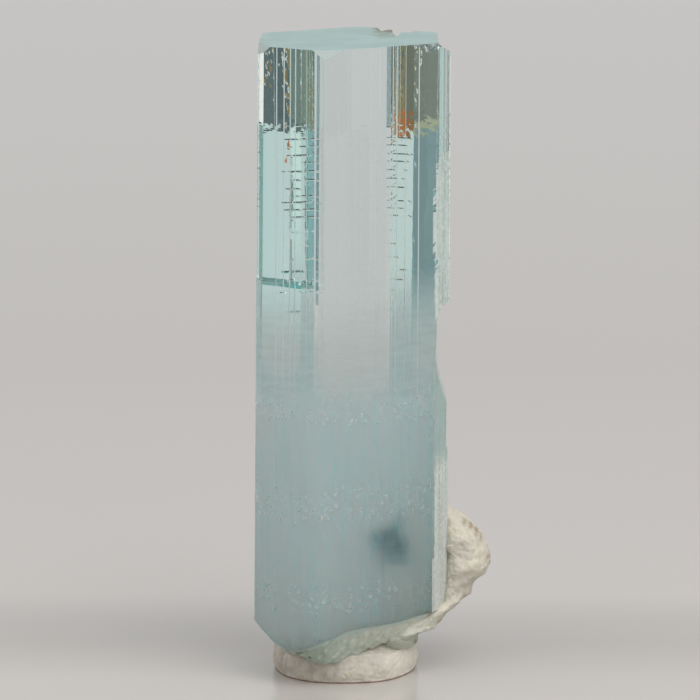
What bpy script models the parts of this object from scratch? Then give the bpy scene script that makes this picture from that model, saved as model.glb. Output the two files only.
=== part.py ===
"""An aquamarine crystal with the white feldspar it grew on, standing in a pat of mineral putty.

Metres, +Z up. The origin is the centre of the putty's flat foot. The crystal's long axis is +Z,
and its foremost edge faces -Y. Three solids: crystal, matrix and putty.
"""
import math

import bmesh
import bpy
from mathutils import Vector, noise

MM = 0.001
GAP = 0.3 * MM  # kept between pieces that touch

# The crystal: a six-sided prism. Each face looks so many degrees from the front towards the right,
# and lies so far from the axis.
TOP = 51.3 * MM  # the flat end face
FRONT_LEFT = (-31.5, 7.79 * MM)
EDGE_LEFT = (-26.0, 7.96 * MM)  # two narrow faces that blunt the foremost edge
EDGE_RIGHT = (-18.0, 8.11 * MM)
FRONT_RIGHT = (28.5, 6.31 * MM)
BAND = (60.0, 7.96 * MM)  # the narrow face down the right side
RIGHT = (88.5, 8.25 * MM)
RIGHT_BLUNT = (118.5, 8.30 * MM)
BACK_RIGHT = (148.5, 6.90 * MM)
BACK_BLUNT = (178.5, 7.45 * MM)
BACK_LEFT = (-151.5, 6.15 * MM)
LEFT_BLUNT = (-121.5, 7.28 * MM)
LEFT = (-91.5, 6.77 * MM)
LEFT_BAND = (-61.5, 8.12 * MM)
FACES = (
    FRONT_LEFT, EDGE_LEFT, EDGE_RIGHT, FRONT_RIGHT, BAND, RIGHT, RIGHT_BLUNT,
    BACK_RIGHT, BACK_BLUNT, BACK_LEFT, LEFT_BLUNT, LEFT, LEFT_BAND,
)
BAND_INSET = 0.25 * MM  # the band lies this much deeper low down
TAPER = 0.034  # the crystal widens to the left by this share of its width, from top to foot
TAPER_AXIS = 8.0 * MM

# Raised growth strips: where each starts and ends as a share of its face's width, and its height.
STRIPS = {
    FRONT_RIGHT: ((0.39, 0.48, 0.05), (0.74, 0.77, 0.06)),
    RIGHT: ((0.22, 0.46, 0.10), (0.62, 0.88, 0.14)),
    BACK_RIGHT: ((0.10, 0.27, 0.10), (0.45, 0.55, 0.12), (0.75, 0.88, 0.08)),
    BACK_LEFT: ((0.03, 0.14, 0.06), (0.82, 0.94, 0.07)),
    LEFT: ((0.10, 0.27, 0.10), (0.48, 0.80, 0.12)),
}
STRIP_WALL = 0.05 * MM  # how far a strip's side slopes out

# The broken right side: how far right the crystal reaches at each height.
RIGHT_REACH = (
    (5.0, 8.20), (18.2, 8.15), (18.8, 7.98), (19.6, 8.06), (22.3, 8.05), (23.1, 7.75), (24.3, 7.45),
    (25.4, 7.22), (29.2, 7.24), (29.9, 7.42), (30.3, 7.98), (30.8, 8.25), (33.0, 8.40), (51.3, 8.40),
)

# The broken foot. The faces end at one height, and the break under them runs in to a lower one, where
# the crystal stands in the putty. Both go from left to right.
FACES_END = (
    (-7.6, 5.2), (-6.7, 4.4), (-5.7, 3.4), (-4.3, 2.9), (-3.4, 3.2), (-2.0, 3.9), (0.3, 4.7),
    (4.3, 4.9), (5.7, 5.2), (8.4, 5.5),
)
FOOT = ((-6.5, 3.4), (-4.6, 2.2), (-0.6, 2.0), (0.6, 2.3), (2.2, 2.9), (5.0, 3.4), (8.4, 5.0))
FOOT_INSETS = ((0.2, 1.0), (0.4, 1.0), (0.6, 1.0), (0.74, 0.95), (0.84, 0.75), (0.92, 0.45), (0.97, 0.2))
FOOT_ROUGH = 0.35 * MM
FOOT_GRAIN = 1.5 * MM
RINGS = (7.0, 12.0, 18.2, 18.8, 19.6, 22.3, 23.1, 24.3, 25.4, 29.2, 29.9, 30.3, 30.8, 33.0, 40.0, 46.0)

# The matrix, from its foot up: height, then how far it reaches to the right, front and back.
MATRIX = (
    (1.9, 5.0, -3.6, 3.2), (2.3, 5.7, -4.5, 3.6), (3.2, 5.8, -4.7, 3.8), (3.6, 6.5, -4.4, 3.8),
    (3.8, 7.4, -3.9, 3.8), (4.3, 7.9, -3.2, 3.8), (5.0, 8.5, -2.6, 3.8), (5.5, 9.2, -2.2, 3.9),
    (6.1, 10.0, -2.0, 4.0), (7.1, 10.5, -1.9, 4.1), (7.8, 11.4, -1.9, 4.2), (8.5, 11.7, -1.9, 4.2),
    (9.6, 11.4, -1.8, 4.2), (10.8, 11.3, -1.7, 4.1), (11.8, 10.6, -1.5, 4.0), (12.2, 10.0, -1.3, 3.8),
    (12.6, 9.3, -1.1, 3.4), (13.1, 8.9, -0.8, 2.8), (13.3, 8.6, -0.2, 2.2),
)
MATRIX_LEFT = 2.2 * MM  # hidden in the crystal
MATRIX_SQUARE = 0.72  # below one, the outline has fuller corners than an ellipse
MATRIX_END = 0.5  # size of the small smooth ring at either end
MATRIX_COLUMNS = 44
MATRIX_ROWS = 30
MATRIX_BLOCKS = (2.6 * MM, 0.30 * MM)  # size of the blocks it broke into, and how far they stand out
MATRIX_GRAIN = (0.8 * MM, 0.12 * MM)

# The putty: a pressed pat with a round side.
PUTTY_RADIUS = 5.50 * MM
PUTTY_BULGE = 0.32 * MM
PUTTY_HEIGHT = 2.85 * MM
PUTTY_COLUMNS = 56
PUTTY_SIDE_RINGS = 7
PUTTY_TOP_RINGS = (0.97, 0.92, 0.85, 0.75, 0.62, 0.48, 0.32, 0.16)

# Colour, roughness and how much light passes
CRYSTAL_LOOK = ((0.42, 0.62, 0.62), 0.06, 0.9)
MATRIX_LOOK = ((0.72, 0.68, 0.58), 0.75, 0.0)
PUTTY_LOOK = ((0.60, 0.57, 0.50), 0.85, 0.0)


def clear_scene():
    for obj in list(bpy.data.objects):
        bpy.data.objects.remove(obj)


def add_shape(name, shape):
    """Makes an object of a bmesh."""
    mesh = bpy.data.meshes.new(name)
    shape.to_mesh(mesh)
    shape.free()
    obj = bpy.data.objects.new(name, mesh)
    bpy.context.scene.collection.objects.link(obj)
    return obj


def cutter(name, shape):
    obj = add_shape(name, shape)
    obj.hide_render = True
    obj.display_type = "WIRE"
    return obj


def subtract(obj, other):
    cut = obj.modifiers.new("cut_" + other.name, "BOOLEAN")
    cut.operation = "DIFFERENCE"
    cut.object = other


def finish(obj, look):
    """Gives the object its own material and smooth shading between its flat faces."""
    colour, roughness, clear = look
    material = bpy.data.materials.new(obj.name)
    material.use_nodes = True
    shader = material.node_tree.nodes["Principled BSDF"]
    shader.inputs["Base Color"].default_value = (*colour, 1.0)
    shader.inputs["Roughness"].default_value = roughness
    shader.inputs["Transmission Weight"].default_value = clear
    obj.data.materials.append(material)
    obj.data.shade_smooth()
    obj.data.set_sharp_from_angle(angle=math.radians(20))
    return obj


def along(table, position, unit=MM):
    """Reads a table of (position, value), both in units, between its rows."""
    rows = [(at * unit, value * unit) for at, value in table]
    if position <= rows[0][0]:
        return rows[0][1]
    for (low, first), (high, second) in zip(rows, rows[1:]):
        if position <= high:
            return first + (second - first) * (position - low) / (high - low)
    return rows[-1][1]


def smooth(low, high, value):
    share = min(max((value - low) / (high - low), 0.0), 1.0)
    return share * share * (3 - 2 * share)


def looks(angle):
    """The direction that a prism face looks in, and the direction along it."""
    turn = math.radians(angle)
    return Vector((math.sin(turn), -math.cos(turn))), Vector((math.cos(turn), math.sin(turn)))


def crossing(first, second):
    """The corner where two prism faces meet, each given as (normal, distance)."""
    (a, p), (b, q) = first, second
    share = a.x * b.y - a.y * b.x
    return Vector(((p * b.y - q * a.y) / share, (q * a.x - p * b.x) / share))


def face_distance(face, z, grow):
    inset = BAND_INSET * (1 - smooth(23 * MM, 30 * MM, z)) if face is BAND else 0.0
    return face[1] - inset + grow


def section(z, grow):
    """The crystal's outline at height z, as points from the front left face round to the right."""
    planes = [(looks(face[0])[0], face_distance(face, z, grow)) for face in FACES]
    corners = [crossing(planes[index - 1], planes[index]) for index in range(len(planes))]
    points = []
    for face, plane, corner, after in zip(FACES, planes, corners, corners[1:] + corners[:1]):
        points.append(corner)
        along_face = after - corner
        wall = STRIP_WALL / along_face.length
        for start, end, height in STRIPS.get(face, ()):
            rise = plane[0] * height * MM
            points.append(corner + along_face * start)
            points.append(corner + along_face * (start + wall) + rise)
            points.append(corner + along_face * (end - wall) + rise)
            points.append(corner + along_face * end)
    return [shaped(point, z, grow) for point in points]


def shaped(point, z, grow):
    """Breaks off the right side, then widens the crystal towards its foot."""
    x = min(point.x, along(RIGHT_REACH, z) + grow)
    down = 1 - z / TOP
    return Vector((x + TAPER * down * (x - TAPER_AXIS), point.y))


def broken(place, size):
    """From -1 to 1: tilted flat facets that meet in sharp edges, as broken mineral has."""
    spot = place / size
    centre = noise.voronoi(spot)[1][0]
    lean = noise.cell_vector(centre * 7.3)
    return (spot - centre).dot(lean) + 0.6 * (noise.cell(centre * 5.1) - 0.5)


def foot_point(spot, share, fall, grow):
    """A point of the broken foot. It lies at a share of the outline's radius, fallen by so much."""
    inside = spot * share
    high = along(FACES_END, spot.x)
    low = along(FOOT, inside.x)
    rough = FOOT_ROUGH * broken(Vector((*inside, 0.0)), FOOT_GRAIN) * min(fall, 0.5)
    return Vector((*inside, high + (low - high) * fall + rough - grow))


def loft(rings):
    """A closed skin through rings of equal length, with a fan over each end's last point."""
    shape = bmesh.new()
    rows = [[shape.verts.new(point) for point in ring] for ring in rings]
    for low, high in zip(rows, rows[1:]):
        for index in range(max(len(low), len(high))):
            after = (index + 1) % max(len(low), len(high))
            if len(low) == 1:
                shape.faces.new((low[0], high[after], high[index]))
            elif len(high) == 1:
                shape.faces.new((low[index], low[after], high[0]))
            else:
                shape.faces.new((low[index], low[after], high[after], high[index]))
    if len(rows[-1]) > 1:
        shape.faces.new(rows[-1])
    return shape


def crystal_shape(grow=0.0):
    """The crystal as a bmesh. Grown, it's the room that its neighbours leave."""
    outline = section(RINGS[0] * MM, grow)
    rings = [[foot_point(Vector((0.0, 0.0)), 1.0, 1.0, grow)]]
    for share, fall in (*FOOT_INSETS, (1.0, 0.0)):
        rings.append([foot_point(spot, share, fall, grow) for spot in outline])
    for z in (*(height * MM for height in RINGS), TOP + grow):
        rings.append([Vector((*point, z)) for point in section(z, grow)])
    shape = loft(rings)
    bmesh.ops.recalc_face_normals(shape, faces=shape.faces)
    return shape


def slice_off(shape, point, normal):
    """Cuts away what lies beyond a plane and closes the cut with one flat face."""
    everything = [*shape.verts, *shape.edges, *shape.faces]
    cut = bmesh.ops.bisect_plane(
        shape, geom=everything, dist=1e-7, plane_co=point, plane_no=normal, clear_outer=True
    )
    rim = [part for part in cut["geom_cut"] if isinstance(part, bmesh.types.BMEdge)]
    bmesh.ops.contextual_create(shape, geom=rim)


def facet_ends(shape):
    """The small faces round the end face: a triangle at the foremost edge, and slopes at the sides."""
    left = Vector((-2.6, -7.543, 51.3)) * MM
    right = Vector((-0.04, -7.202, 51.3)) * MM
    tip = Vector((-1.56, -8.027, 50.23)) * MM
    normal = (right - tip).cross(left - tip).normalized()
    slice_off(shape, tip, normal)
    slice_off(shape, Vector((7.55, 0, 51.3)) * MM, Vector((0.60, -0.10, 0.80)).normalized())
    slice_off(shape, Vector((8.15, 0, 50.85)) * MM, Vector((0.90, -0.10, 0.42)).normalized())
    slice_off(shape, Vector((-6.75, -3.0, 51.3)) * MM, Vector((-0.75, -0.25, 0.61)).normalized())


def lumpy_ball(name, centre, radii, rough):
    """A rough-skinned ellipsoid, used to knock a chip out."""
    shape = bmesh.new()
    bmesh.ops.create_icosphere(shape, subdivisions=2, radius=1.0)
    for vertex in shape.verts:
        swell = 1 + rough * noise.noise(vertex.co * 1.7 + Vector(centre))
        vertex.co = Vector(centre) * MM + Vector(
            [axis * radius * MM * swell for axis, radius in zip(vertex.co, radii)]
        )
    return cutter(name, shape)


def make_crystal():
    shape = crystal_shape()
    facet_ends(shape)
    crystal = add_shape("crystal", shape)
    subtract(crystal, lumpy_ball("notch", (4.75, 7.3, 51.6), (1.25, 3.3, 2.2), 0.30))
    subtract(crystal, lumpy_ball("scoop", (3.0, 7.9, 51.9), (1.4, 3.4, 1.3), 0.35))
    return finish(crystal, CRYSTAL_LOOK)


def matrix_row(z):
    """The matrix's right, front and back reach at a height."""
    return [along([(row[0], row[column]) for row in MATRIX], z) for column in (1, 2, 3)]


def matrix_middle(z):
    right, front, back = matrix_row(z)
    return Vector(((right + MATRIX_LEFT) / 2, (front + back) / 2))


def matrix_ring(z, size, grow):
    """The matrix's outline at a height, at a share of its size. At half size it's smooth."""
    right, front, back = matrix_row(z)
    centre = matrix_middle(z)
    reach = Vector(((right - MATRIX_LEFT) / 2, (back - front) / 2)) * size
    ring = []
    for column in range(MATRIX_COLUMNS):
        turn = 2 * math.pi * column / MATRIX_COLUMNS
        way = Vector((math.cos(turn), math.sin(turn)))
        full = Vector([math.copysign(abs(part) ** MATRIX_SQUARE, part) for part in way])
        place = Vector((centre.x + full.x * reach.x, centre.y + full.y * reach.y, z))
        rough = sum(height * broken(place, grain) for grain, height in (MATRIX_BLOCKS, MATRIX_GRAIN))
        ring.append(place + Vector((*way, 0.0)) * (grow + rough * (2 * size - 1)))
    return ring


def matrix_shape(grow=0.0):
    """The matrix before the crystal is cut out of it."""
    bottom = MATRIX[0][0] * MM
    top = MATRIX[-1][0] * MM
    rings = [[Vector((*matrix_middle(bottom), bottom - grow))]]
    rings.append(matrix_ring(bottom - grow, MATRIX_END, 0.0))
    for row in range(MATRIX_ROWS + 1):
        rings.append(matrix_ring(bottom + (top - bottom) * row / MATRIX_ROWS, 1.0, grow))
    rings.append(matrix_ring(top + grow, MATRIX_END, 0.0))
    rings.append([Vector((*matrix_middle(top), top + grow))])
    shape = loft(rings)
    bmesh.ops.recalc_face_normals(shape, faces=shape.faces)
    return shape


def make_matrix():
    matrix = add_shape("matrix", matrix_shape())
    subtract(matrix, cutter("crystal_room", crystal_shape(GAP)))
    return finish(matrix, MATRIX_LOOK)


def putty_rim(turn, share):
    """The putty's side at a share of its height: round, and a little uneven."""
    uneven = 0.25 * MM * noise.noise(Vector((math.cos(turn), math.sin(turn), 0.4)) * 1.6)
    swell = PUTTY_BULGE * math.sin(math.pi * (0.15 + 0.75 * share))
    return PUTTY_RADIUS + uneven + swell


def putty_top(x, y):
    """The putty's upper side before the mineral is pressed into it."""
    rough = 0.18 * MM * noise.noise(Vector((x, y, 3.0)) / (1.6 * MM))
    return PUTTY_HEIGHT * (1 - 0.22 * smooth(3.6 * MM, PUTTY_RADIUS, math.hypot(x, y))) + rough


def make_putty():
    rings = [[Vector((0, 0, 0))]]
    turns = [2 * math.pi * step / PUTTY_COLUMNS for step in range(PUTTY_COLUMNS)]
    for step in range(PUTTY_SIDE_RINGS + 1):
        share = step / PUTTY_SIDE_RINGS
        ring = []
        for turn in turns:
            edge = Vector((math.cos(turn), math.sin(turn))) * putty_rim(turn, share)
            ring.append(Vector((*edge, share * putty_top(*edge))))
        rings.append(ring)
    for share in PUTTY_TOP_RINGS:
        ring = []
        for turn in turns:
            spot = Vector((math.cos(turn), math.sin(turn))) * putty_rim(turn, 1.0) * share
            ring.append(Vector((*spot, putty_top(*spot))))
        rings.append(ring)
    rings.append([Vector((0, 0, putty_top(0, 0)))])
    shape = loft(rings)
    bmesh.ops.recalc_face_normals(shape, faces=shape.faces)
    putty = add_shape("putty", shape)
    subtract(putty, cutter("crystal_print", crystal_shape(GAP)))
    subtract(putty, cutter("matrix_print", matrix_shape(GAP)))
    return finish(putty, PUTTY_LOOK)


def main():
    clear_scene()
    make_crystal()
    make_matrix()
    make_putty()


main()
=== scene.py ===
"""Looks for an aquamarine crystal on its putty: clear beryl above, milky below, feldspar at its foot.

Metres, +Z up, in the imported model's own frame. The crystal's foremost edge faces -Y.
"""
import math

import bmesh
import bpy
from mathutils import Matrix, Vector, noise


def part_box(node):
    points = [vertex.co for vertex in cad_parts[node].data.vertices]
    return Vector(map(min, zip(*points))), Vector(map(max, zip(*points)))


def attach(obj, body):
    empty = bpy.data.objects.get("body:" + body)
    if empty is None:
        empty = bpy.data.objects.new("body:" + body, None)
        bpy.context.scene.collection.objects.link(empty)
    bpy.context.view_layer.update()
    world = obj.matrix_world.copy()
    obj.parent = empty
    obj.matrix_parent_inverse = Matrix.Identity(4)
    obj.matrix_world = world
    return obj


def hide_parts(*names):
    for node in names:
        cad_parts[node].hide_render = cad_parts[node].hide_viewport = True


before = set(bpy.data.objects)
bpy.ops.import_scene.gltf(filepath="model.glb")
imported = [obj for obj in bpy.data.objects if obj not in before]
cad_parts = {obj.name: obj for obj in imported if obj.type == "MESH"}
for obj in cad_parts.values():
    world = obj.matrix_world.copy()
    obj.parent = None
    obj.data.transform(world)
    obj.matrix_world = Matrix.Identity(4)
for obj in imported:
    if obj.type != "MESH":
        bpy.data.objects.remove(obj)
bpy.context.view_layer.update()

MM = 0.001
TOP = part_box("crystal")[1][2]  # height of the flat end face

# The crystal's faces: the way each looks, in degrees from the front to the right, and its distance.
FRONT_LEFT = (-31.5, 7.79 * MM)
EDGE_LEFT = (-26.0, 7.96 * MM)
EDGE_RIGHT = (-18.0, 8.11 * MM)
FRONT_RIGHT = (28.5, 6.31 * MM)
BAND = (60.0, 7.96 * MM)
RIGHT = (88.5, 8.25 * MM)
RIGHT_BLUNT = (118.5, 8.30 * MM)
BACK_RIGHT = (148.5, 6.95 * MM)
BACK_BLUNT = (178.5, 7.45 * MM)
BACK_LEFT = (-151.5, 6.15 * MM)
LEFT_BLUNT = (-121.5, 7.28 * MM)
LEFT = (-91.5, 6.77 * MM)
LEFT_BAND = (-61.5, 8.12 * MM)
FACES = (
    FRONT_LEFT, EDGE_LEFT, EDGE_RIGHT, FRONT_RIGHT, BAND, RIGHT, RIGHT_BLUNT,
    BACK_RIGHT, BACK_BLUNT, BACK_LEFT, LEFT_BLUNT, LEFT, LEFT_BAND,
)
# Low down the band lies further in. The inset fades out between these heights.
BAND_INSET = 0.25 * MM
BAND_INSET_ENDS = (23 * MM, 30 * MM)
TAPER = 0.034
TAPER_AXIS = 8.0 * MM
LOW_RING = 7.0 * MM  # height of the crystal's lowest level outline
RING_STEP = 0.25 * MM
OUTLINE_STEP = 0.25 * MM

# The relief of each face: how far it stands out, in millimetres, at shares of its width.
# A narrow ridge is a growth line, and a long slope turns a strip of the face by a degree or two.
RELIEF = {
    FRONT_RIGHT: ((0.0, 0.0), (0.39, 0.0), (0.40, 0.004), (0.47, 0.004), (0.48, 0.0), (1.0, 0.0)),
    RIGHT: ((0.0, 0.0), (0.62, 0.0), (0.625, 0.03), (0.70, 0.03), (0.705, 0.0), (1.0, 0.0)),
    BACK_RIGHT: (
        (0.0, 0.0), (0.552, 0.0), (0.56, 0.004), (0.568, 0.0), (0.637, 0.0), (0.77, 0.03), (0.771, 0.0),
        (0.899, 0.0), (0.907, 0.005), (0.915, 0.0), (0.961, 0.0), (0.969, 0.004), (0.977, 0.0), (1.0, 0.0),
    ),
    BACK_LEFT: (
        (0.0, 0.0), (0.104, 0.0), (0.105, 0.02), (0.186, 0.0), (0.261, 0.0), (0.269, 0.006), (0.277, 0.0),
        (0.335, 0.0), (0.343, 0.006), (0.351, 0.0), (0.423, 0.0), (0.431, 0.005), (0.439, 0.0),
        (0.529, 0.0), (0.537, 0.004), (0.545, 0.0), (1.0, 0.0),
    ),
    LEFT: ((0.0, 0.0), (0.30, 0.0), (0.305, 0.03), (0.50, 0.03), (0.505, 0.0), (1.0, 0.0)),
}
NO_RELIEF = ((0.0, 0.0), (1.0, 0.0))

# Level nicks across the back edge: height, how far each runs on the left and right back faces as a
# share of their widths, and depth in millimetres.
NICKS = (
    (44.0, 0.34, 0.82, 0.005), (43.5, 0.30, 0.70, 0.006), (42.9, 0.42, 0.70, 0.005),
    (42.3, 0.42, 0.74, 0.005), (41.6, 0.36, 0.66, 0.006), (41.0, 0.20, 0.72, 0.004),
    (40.3, 0.44, 0.74, 0.006), (39.6, 0.34, 0.78, 0.005), (38.9, 0.40, 0.72, 0.005),
    (38.3, 0.30, 0.80, 0.004), (37.8, 0.46, 0.70, 0.007), (37.2, 0.45, 0.76, 0.006),
    (36.6, 0.40, 0.70, 0.005), (35.4, 0.32, 0.86, 0.004), (34.3, 0.22, 0.86, 0.004),
    (33.2, 0.40, 0.80, 0.004), (32.2, 0.44, 0.72, 0.005), (31.4, 0.30, 0.80, 0.004),
    (30.5, 0.48, 0.85, 0.005), (28.9, 0.36, 0.90, 0.004),
)
NICK_HALF = 0.09 * MM
NICK_BREAKS = 13  # how finely noise breaks a nick up over a face's width
NICK_GAPS = (-0.25, 0.10)  # between these values of the noise a nick fades in

# Fine unevenness of the back and side faces, with two strips of the back left face rougher near the top
GRAIN_SIZE = 0.45 * MM
GRAIN_HEIGHT, ROUGHER_BY = 0.0004, 0.0012  # in millimetres
ROUGHER_STRIPS = ((0.585, 0.72), (0.14, 0.335))  # shares of the face's width
ROUGHER_FROM = (44.5 * MM, 47 * MM)

# How far right the crystal reaches at each height.
RIGHT_REACH = (
    (5.0, 8.20), (18.2, 8.15), (18.8, 7.98), (19.6, 8.06), (22.3, 8.05), (23.1, 7.75), (24.3, 7.45),
    (25.4, 7.22), (29.2, 7.24), (29.9, 7.42), (30.3, 7.98), (30.8, 8.25), (33.0, 8.40), (51.3, 8.40),
)
# Further back than PLATES_BACK the plates on the right side end in one sharp ledge.
RIGHT_REACH_BEHIND = (
    (5.0, 8.20), (18.2, 8.15), (18.8, 7.98), (19.6, 8.06), (22.3, 8.05), (23.1, 7.75), (24.3, 7.45),
    (25.4, 7.22), (30.0, 7.22), (30.1, 8.40), (51.3, 8.40),
)
PLATES_BACK = -1.4 * MM
PLATES_START = 7.31 * MM  # how far right the plates start
# Their top runs down to the right and to the back from this place.
PLATES_CREST = Vector((7.31, -3.26, 51.24)) * MM
PLATES_SLOPE = Vector((0.40, 0.21, 0.90))

# The bruised right side starts this far right at each height.
BRUISE = (
    (4.0, 6.95), (8.0, 6.85), (10.5, 7.05), (17.8, 7.08), (26.0, 7.15), (30.3, 7.20), (34.0, 7.22),
    (35.0, 7.05), (36.5, 6.95), (39.0, 7.05), (41.3, 7.25), (42.4, 7.50),
)
BRUISE_TOP = 42.5 * MM
# Under this height it reaches further back.
BRUISE_DEEP_TOP, BRUISE_DEEP_BACK = 18 * MM, 3.0 * MM
# Its roughness, coarse and fine: size and height
BRUISE_COARSE = (0.45 * MM, 0.05 * MM)
BRUISE_FINE = (0.2 * MM, 0.03 * MM)
# How far its polygons must look to the right, above and below a height
BRUISE_SIDEWAYS = (0.2, 0.6)
BRUISE_SIDEWAYS_CHANGE = 27 * MM

# The end face is etched where polygons lie this high and look this far up.
ETCHED_FROM, ETCHED_UP = 49.5 * MM, 0.3
BEVELS = (51.27 * MM, 51.23 * MM)  # under the first height the gray bevels begin
# The chipped patch on it
PATCH_CENTRE = Vector((3.2, 4.4, 51.0)) * MM
PATCH_RADII = Vector((1.15, 5.0, 4.0)) * MM
# Chips knocked out of its back rim: name, centre, radii and unevenness, in millimetres
CHIPS = (
    ("notch", (4.75, 7.0, 51.6), (0.85, 4.4, 1.8), 0.25),
    ("slot", (4.05, 5.8, 51.7), (0.36, 4.9, 1.4), 0.15),
    ("scoop", (3.25, 7.6, 52.0), (1.0, 3.6, 1.2), 0.35),
)
CHIP_FACET, CHIP_FACET_SIZE = 0.12, 0.35  # shares of a chip's radius

# The broken foot: where the faces end, and where the break under them stands in the putty.
FACES_END = (
    (-7.6, 5.2), (-6.7, 4.4), (-5.7, 3.4), (-4.3, 2.9), (-3.4, 3.2), (-2.0, 3.9), (0.3, 4.7),
    (4.3, 4.9), (5.7, 5.2), (8.4, 5.5),
)
FOOT = ((-6.5, 3.4), (-4.6, 2.2), (-0.6, 2.0), (0.6, 2.3), (2.2, 2.9), (5.0, 3.4), (8.4, 5.0))
FOOT_RINGS = 30
FOOT_SLOPE = 0.26  # share of the radius over which the break runs in
# Its facets, coarse and fine: size and height
FOOT_COARSE = (1.5 * MM, 0.35 * MM)
FOOT_FINE = (0.5 * MM, 0.10 * MM)

# Beryl's refraction, and what of white light is left after it takes its share
BERYL_IOR = 1.577
BERYL_TINT, BERYL_DENSITY = (0.25, 0.96, 0.95), 11.0

# The milky zone: it begins faintly at one height and is thick under the other.
HAZE_TOP, MILK_TOP = 31.0 * MM, 22.4 * MM
HAZE_POWER = 1.2
MILK_EDGE = 0.3 * MM
MILK_TINT = (0.67, 0.993, 0.9995)
HAZE_DENSITIES, MILK_DENSITIES = (75.0, 260.0), (170.0, 400.0)
CLOUD_INSET = -0.25 * MM
CLOUD_STEP = 1.0 * MM
CLOUD_FOOT_RINGS = 16
FLAKE_LEVELS = ((22.3, 1.5), (14.8, 2.4), (7.2, 1.8))  # height and half thickness, in millimetres
STRAY_FLAKES = 0.10  # share of the flakes that lie between the levels
# The dark smoky spot behind the front right face
SMOKE_CENTRE = Vector((4.4, -4.8, 11.3)) * MM
SMOKE_RADII = Vector((3.4, 1.9, 2.1)) * MM
SMOKE_TINT, SMOKE_DENSITY = (0.30, 0.50, 0.54), 1300.0

# The crust under the crystal's foot
CRUST_STEP = 0.3 * MM
CRUST_RINGS = 40
CRUST_SUNK = 0.04 * MM  # how far its upper side lies inside the crystal
CRUST_MIDDLE = 0.3 * MM  # its thickness at the foot's middle
CRUST_THIN, CRUST_THICK = 0.02, 0.30  # at its left, and what it gains to the right, in millimetres
CRUST_GROWS = (-3.6 * MM, -1.5 * MM)  # from left to right
# Its facets: size, and height in millimetres
CRUST_FACETS = ((0.9 * MM, 0.14), (0.35 * MM, 0.08))
CRUST_RIM = 0.9 * MM  # it takes the crystal's tone this far below the ends of its faces
CRYSTAL_TONE = (0.47, 0.60, 0.58)

# The feldspar, from its foot up: height, then how far it reaches to the right, front and back.
FELDSPAR = (
    (1.9, 5.0, -2.6, 3.2), (2.3, 5.7, -3.3, 3.6), (3.2, 5.8, -4.0, 3.8), (3.6, 6.5, -4.1, 3.8),
    (3.8, 7.4, -4.0, 3.8), (4.3, 7.9, -3.7, 3.8), (5.0, 8.5, -3.0, 3.8), (5.5, 9.2, -2.4, 3.9),
    (6.1, 10.0, -2.0, 4.0), (7.1, 10.5, -1.9, 4.1), (7.8, 11.4, -1.9, 4.2), (8.5, 11.7, -1.9, 4.2),
    (9.6, 11.5, -1.8, 4.2), (10.8, 11.0, -1.7, 4.1), (11.6, 10.3, -1.5, 4.0), (12.1, 9.6, -1.3, 3.8),
    (12.4, 9.1, -1.1, 3.4), (12.8, 8.7, -0.8, 2.8), (12.9, 8.4, -0.2, 2.2),
)
# How far left it reaches at each height
FELDSPAR_LEFT = ((1.9, 2.2), (4.2, 2.8), (5.0, 5.4), (5.8, 7.4), (13.3, 7.7))
FELDSPAR_SQUARE = 0.86  # below one, its outline has fuller corners than an ellipse
FELDSPAR_COLUMNS = 260
FELDSPAR_ROWS = 150
FELDSPAR_END_RINGS = 12
FELDSPAR_DOME = 0.25 * MM
FELDSPAR_LUMPS = ((1.9 * MM, 0.34 * MM), (0.8 * MM, 0.16 * MM), (0.35 * MM, 0.06 * MM))
FELDSPAR_BLOCKS = (1.5 * MM, 0.09 * MM)
FELDSPAR_GRAINS = ((0.35 * MM, 0.03 * MM), (0.16 * MM, 0.018 * MM))
# Rusty spots on the feldspar and the crust: right, height, size and strength
STAINS = (
    (9.6, 12.1, 0.4, 0.7), (10.2, 11.7, 0.4, 0.9), (10.7, 11.2, 0.45, 1.0), (11.0, 10.6, 0.35, 0.7),
    (11.6, 9.2, 0.4, 0.6), (11.7, 8.6, 0.4, 0.8), (10.6, 7.3, 0.3, 0.4), (9.6, 6.0, 0.4, 0.4),
    (8.2, 5.0, 0.4, 0.6), (7.6, 4.3, 0.4, 0.7), (5.6, 2.6, 0.3, 0.8), (-1.5, 3.7, 0.22, 0.9),
    (-1.3, 4.0, 0.15, 0.9), (0.25, 3.1, 0.22, 1.0), (0.2, 2.7, 0.2, 0.9),
)
# They lie within STAIN_DEPTH of a level line from left to right, STAIN_LINE in front of the middle.
STAIN_LINE, STAIN_DEPTH = 1.0 * MM, 2.6 * MM

# The putty
PUTTY_RADIUS = 5.50 * MM
PUTTY_UNEVEN = 0.25 * MM
PUTTY_BULGE = 0.32 * MM
PUTTY_HEIGHT = 2.85 * MM
PUTTY_FALL, PUTTY_FALL_FROM = 0.22, 3.6 * MM  # its top falls by this share outside this radius
PUTTY_TOP_ROUGH = 0.18 * MM
PUTTY_COLUMNS = 420
PUTTY_SIDE_RINGS = 48
PUTTY_TOP_RINGS = 40
# Its creases, coarse and fine: size and height
PUTTY_FOLDS = (1.1 * MM, 0.30 * MM)
PUTTY_CREASES = (0.4 * MM, 0.12 * MM)

# The camera, and how many pixels of the 700 a radian covers
CAMERA_PLACE = Vector((0.33, -400.0, 101.5)) * MM
CAMERA_PITCH = math.radians(10.669)
CAMERA_PIXELS = 5076.3
FRAME_PIXELS = 700
SENSOR = 36.0

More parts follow.
